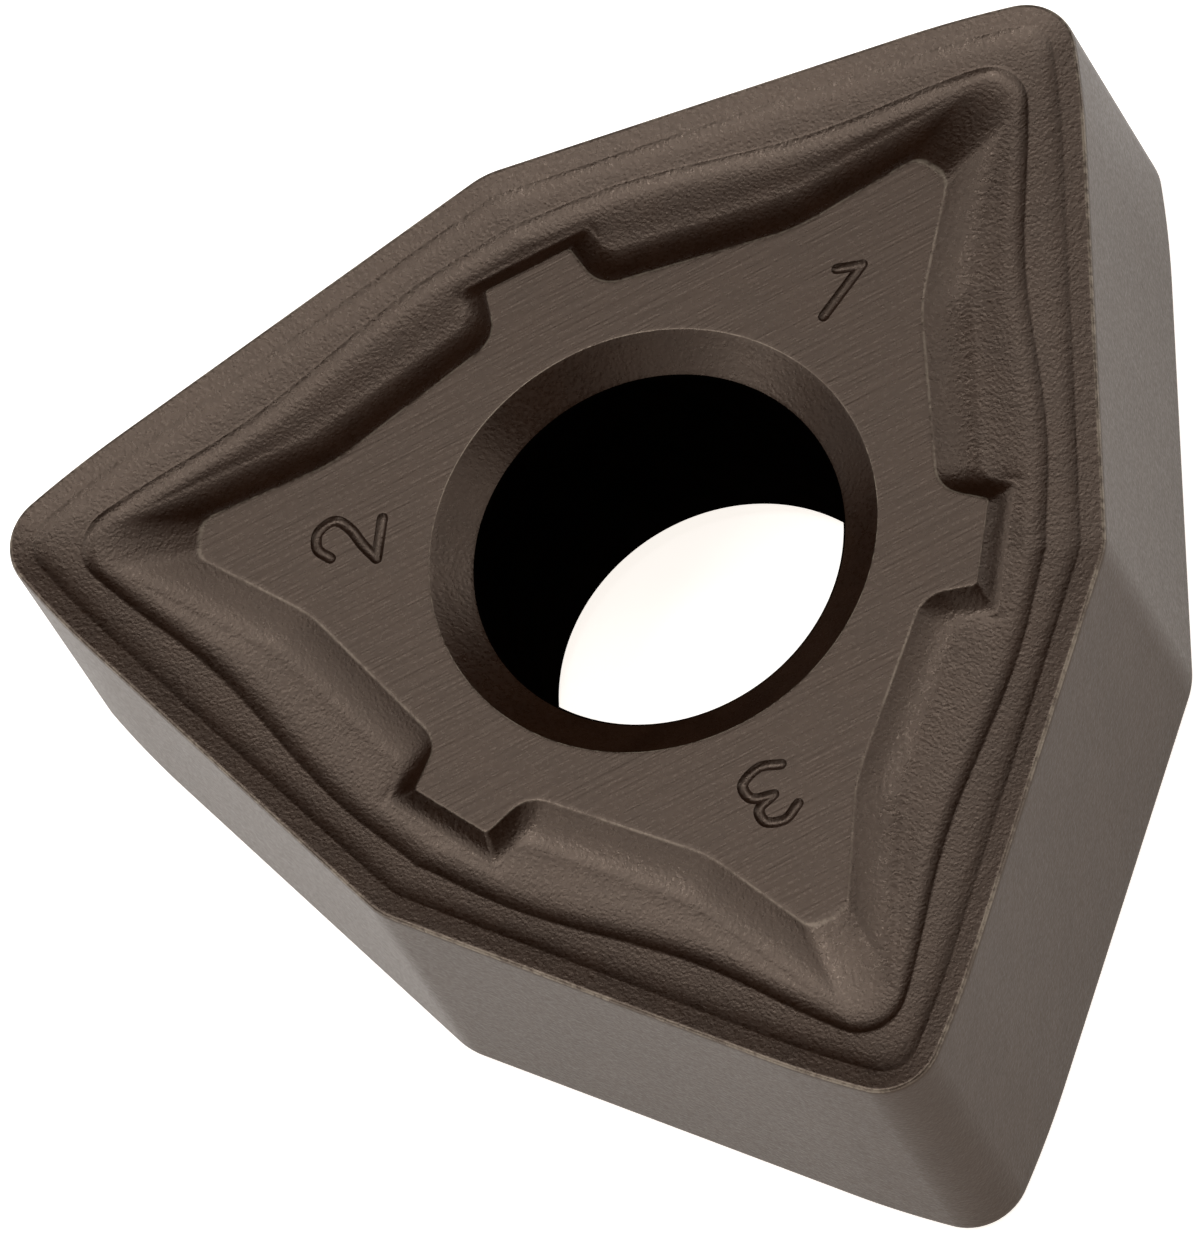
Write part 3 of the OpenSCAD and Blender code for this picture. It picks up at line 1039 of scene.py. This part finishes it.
@dataclass(frozen=True)
class Finish:
    """Finish of one zone: its coat's colours, gloss, grain and wear, with painted shade in crevices and a
    painted highlight along worn edges.

    Grain, ground lines and streaks are heights in micrometres. Names in per_mm count the grains or lines
    to a millimetre.
    """

    name: str
    colour: Colour = (0.011, 0.004, 0.0016)
    mottled: Colour = (0.015, 0.006, 0.0028)
    painted_crevice_shade_colour: Colour = (0.006, 0.003, 0.0015)
    worn_and_highlight_colour: Colour = (0.2, 0.165, 0.125)
    tint: Colour = (1.0, 0.78, 0.63)
    specular: float = 0.67
    roughness: float = 0.3
    mottle_roughness: float = 0.05
    grain: float = 4.5
    coarse_grain: float = 2.5
    ground: float = 0.0
    streaks: float = 0.0
    grind_angle: float = 60.0
    micron: float = 0.001
    mottle_per_mm: float = 1.6
    gloss_per_mm: float = 16.0
    patch_per_mm: float = 1.1
    nick_per_mm: float = 9.0
    grain_per_mm: float = 20.0
    coarse_per_mm: float = 6.0
    lines_per_mm: float = 22.0
    streaks_per_mm: float = 10.0
    streak_break: float = 0.25
    painted_crevice_shade_strength: float = 0.35
    least_worn_and_lit: float = 0.15
    most_worn_and_lit: float = 0.75

    def make(self) -> bpy.types.Material:
        """Builds the material.

        Returns:
            The finished material.
        """
        nodes = Nodes(self.name)
        place = nodes.add("TexCoord").outputs["Object"]
        mm = nodes.add("Mapping", {"Vector": place, "Scale": (1 / MM, 1 / MM, 1 / MM)}).outputs[0]
        bump = nodes.add("Bump", {"Height": self.height(nodes, mm), "Distance": self.micron * MM})
        gloss = nodes.noise(mm, self.gloss_per_mm, 3.0, 0.65)
        unevenness = nodes.ramp(gloss, 0.3, 0.7, -self.mottle_roughness, self.mottle_roughness)
        return nodes.finish({
            "Base Color": self.coat_with_wear_and_painted_light(nodes, mm),
            "Roughness": nodes.math("ADD", unevenness, self.roughness),
            "Normal": bump.outputs[0], "Specular IOR Level": self.specular,
            "Specular Tint": (*self.tint, 1)})

    def coat_with_wear_and_painted_light(self, nodes: Nodes, mm: Socket) -> Socket:
        """Colour of the coat: mottled, with painted shade in crevices, and paler where an edge is worn,
        which also paints a highlight line along it.

        Args:
            nodes: The material's nodes.
            mm: Place on the piece in millimetres.

        Returns:
            The colour.
        """
        painted_crevice_shade = nodes.add("Attribute", attribute_name="painted_crevice_shade").outputs["Fac"]
        wear_and_highlight = nodes.add("Attribute", attribute_name="wear_and_highlight").outputs["Fac"]
        mottle = nodes.noise(mm, self.mottle_per_mm, 4.0, 0.6)
        colour = nodes.mix(nodes.ramp(mottle, 0.35, 0.65), (*self.colour, 1), (*self.mottled, 1))
        # Painted shade: the colour darkens where the crevice shade layer is high.
        hollow = nodes.math("MULTIPLY", nodes.ramp(painted_crevice_shade, 0.3, 1.0), self.painted_crevice_shade_strength)
        colour = nodes.mix(hollow, colour, (*self.painted_crevice_shade_colour, 1))
        # Wear with painted highlight: noisy pale chips and a pale line along the worn edges.
        patches = nodes.math("ADD", nodes.noise(mm, self.patch_per_mm),
                             nodes.noise(mm, self.nick_per_mm, 2.0, 0.6))
        chips_and_highlight = nodes.math("MULTIPLY", nodes.ramp(wear_and_highlight, 0.4, 1.0),
                           nodes.ramp(patches, 0.85, 1.15, self.least_worn_and_lit, self.most_worn_and_lit))
        return nodes.mix(chips_and_highlight, colour, (*self.worn_and_highlight_colour, 1))

    def height(self, nodes: Nodes, mm: Socket) -> Socket:
        """Height of the fine relief.

        Args:
            nodes: The material's nodes.
            mm: Place on the piece in millimetres.

        Returns:
            The height in micrometres.
        """
        grain = nodes.math("MULTIPLY", nodes.noise(mm, self.grain_per_mm), self.grain)
        coarse = nodes.math("MULTIPLY", nodes.noise(mm, self.coarse_per_mm), self.coarse_grain)
        height = nodes.math("ADD", grain, coarse)
        if self.ground:
            turned = nodes.add("Mapping", {
                "Vector": mm, "Rotation": (0.0, 0.0, -math.radians(self.grind_angle))}).outputs[0]
            lines = nodes.noise(nodes.stretch(turned, (1.0, self.lines_per_mm, 1.0)), 1.0, 2.0, 0.6)
            height = nodes.math("ADD", height, nodes.math("MULTIPLY", lines, self.ground))
        if self.streaks:
            along = nodes.add("Attribute", attribute_name="edge_point").outputs["Vector"]
            shift = nodes.stretch(mm, (self.streak_break, self.streak_break, self.streak_break))
            broken = nodes.add("VectorMath", {0: along, 1: shift}, operation="ADD").outputs[0]
            streaks = nodes.noise(broken, self.streaks_per_mm, 2.0, 0.6)
            height = nodes.math("ADD", height, nodes.math("MULTIPLY", streaks, self.streaks))
        return height


FINISHES = {
    # Painted shade: the bore is coloured near black and reflects nothing, for the shade deep in the hole.
    Zone.BORE: Finish("bore_painted_black_for_shade", colour=(0.0006, 0.0004, 0.0003), mottled=(0.001, 0.0006, 0.0004),
                      specular=0.0, roughness=0.9),
    Zone.COUNTERSINK: Finish("coat_on_countersink"),
    Zone.SEAT: Finish("coat_on_ground_seat", grain=0.6, coarse_grain=0.0, ground=3.5),
    Zone.PRESSED: Finish("coat_on_pressed_face", grain=6.5, coarse_grain=3.0, streaks=2.0),
    Zone.FLANK: Finish("coat_on_flank", colour=(0.046, 0.029, 0.019), mottled=(0.05, 0.032, 0.0215),
                       tint=(1.0, 0.82, 0.7), specular=0.1, roughness=0.38, grain=4.0, coarse_grain=3.0),
}


@dataclass(frozen=True)
class SoftLight:
    """Square studio light that points at the insert."""

    name: str
    azimuth: float
    elevation: float
    power: float
    size: float = 0.25
    distance: float = 0.6

    def build(self) -> None:
        """Puts the light in the scene."""
        data = bpy.data.lights.new(self.name, "AREA")
        data.shape = "SQUARE"
        data.size = self.size
        data.energy = self.power
        lamp = to_scene(self.name, data)
        away = toward(self.azimuth, self.elevation)
        lamp.location = away * self.distance
        lamp.rotation_euler = away.to_track_quat("Z", "Y").to_euler()


@dataclass
class Studio:
    """Pale lit floor, soft lights and the camera at the photograph's angle."""

    lights: Sequence[SoftLight] = (
        SoftLight("zenith", 0, 89, 0.22, 0.1),
        SoftLight("overhead_spot_front", 225, 72, 0.42, 0.1),
        SoftLight("overhead_spot_back", 90, 71, 0.27, 0.1),
        SoftLight("overhead_spot_left", 150, 71, 0.06, 0.1),
        SoftLight("overhead_left", 180, 68, 0.57),
        SoftLight("overhead_back", 60, 68, 0.13),
        SoftLight("overhead_front", 300, 68, 0.055),
        SoftLight("overhead_back_left", 120, 68, 0.08),
        SoftLight("front_left", 240, 48, 0.44),
        SoftLight("back_right", 40, 48, 0.2),
        SoftLight("back", 80, 48, 0.38),
        SoftLight("left", 200, 48, 0.32),
        SoftLight("far_left", 160, 48, 0.08),
        SoftLight("front", 280, 48, 0.14),
        SoftLight("low_left", 210, 28, 0.09),
        SoftLight("low_front_left", 270, 15, 0.5),
        SoftLight("low_front", 330, 15, 0.3),
        SoftLight("low_back_right", 45, 15, 0.35),
    )
    floor_size: float = 3.0
    floor_tones: tuple[float, float] = (0.78, 0.82)
    floor_patches_per_m: float = 40.0
    # The floor glows with its own light, which lifts its shadows to near white, under the hole too.
    floor_glow: float = 0.92
    glow_colour: Colour = (1.0, 0.95, 0.89)
    azimuth: float = 337.265
    elevation: float = 60.345
    roll: float = -33.193
    distance: float = 0.49917
    target: tuple[float, float, float] = (-0.00118, -0.00082, 0.0)
    lens: float = 1052.16

    def floor(self, level: float) -> bpy.types.Object:
        """Makes the floor that the insert lies on.

        Args:
            level: Height of the floor in metres.

        Returns:
            The floor.
        """
        bm = bmesh.new()
        bmesh.ops.create_grid(bm, x_segments=1, y_segments=1, size=self.floor_size / 2)
        bmesh.ops.translate(bm, verts=bm.verts[:], vec=(0, 0, level))
        nodes = Nodes("pale_floor")
        place = nodes.add("TexCoord").outputs["Object"]
        dark, light = self.floor_tones
        patches = nodes.noise(place, self.floor_patches_per_m, 3.0)
        tone = nodes.mix(patches, (dark, dark, dark, 1), (light, light, light, 1))
        material = nodes.finish({
            "Base Color": tone, "Roughness": 0.8, "Specular IOR Level": 0.2,
            "Emission Color": (*self.glow_colour, 1), "Emission Strength": self.floor_glow})
        return to_object("floor", bm, [material])

    def camera(self) -> None:
        """Puts the camera where the photograph was taken from."""
        data = bpy.data.cameras.new("camera")
        data.sensor_width = 36
        data.lens = self.lens
        data.clip_start = 0.01
        data.clip_end = 20
        camera = to_scene("camera", data)
        away = toward(self.azimuth, self.elevation)
        right = aim(self.azimuth + 90).to_3d()
        level = Matrix((right, away.cross(right), away)).transposed()
        turned = level.to_4x4() @ Matrix.Rotation(math.radians(self.roll), 4, "Z")
        camera.matrix_world = Matrix.Translation(Vector(self.target) + away * self.distance) @ turned
        bpy.context.scene.camera = camera

    def air(self) -> None:
        """Makes the world dark, so that light comes from the lamps and the floor alone."""
        world = bpy.data.worlds.new("studio_air")
        world.use_nodes = True
        world.node_tree.nodes["Background"].inputs["Strength"].default_value = 0.0
        bpy.context.scene.world = world

    def build(self, level: float) -> bpy.types.Object:
        """Makes the floor, the lights, the air and the camera.

        Args:
            level: Height of the floor in metres.

        Returns:
            The floor.
        """
        self.camera()
        self.air()
        for light in self.lights:
            light.build()
        bpy.context.scene.view_settings.view_transform = "Standard"
        return self.floor(level)


def main() -> None:
    """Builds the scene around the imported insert."""
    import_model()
    materials = [FINISHES[zone].make() for zone in Zone]
    insert = Insert().build(materials, Numbers())
    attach(insert, "root")
    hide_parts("insert")
    LOG.info("%s: %d faces", insert.name, len(insert.data.polygons))
    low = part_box("insert")[0]
    floor = Studio().build(low.z)
    LOG.info("%s at %.4f m", floor.name, low.z)


if __name__ == "__main__":
    logging.basicConfig(level=logging.INFO)
    main()
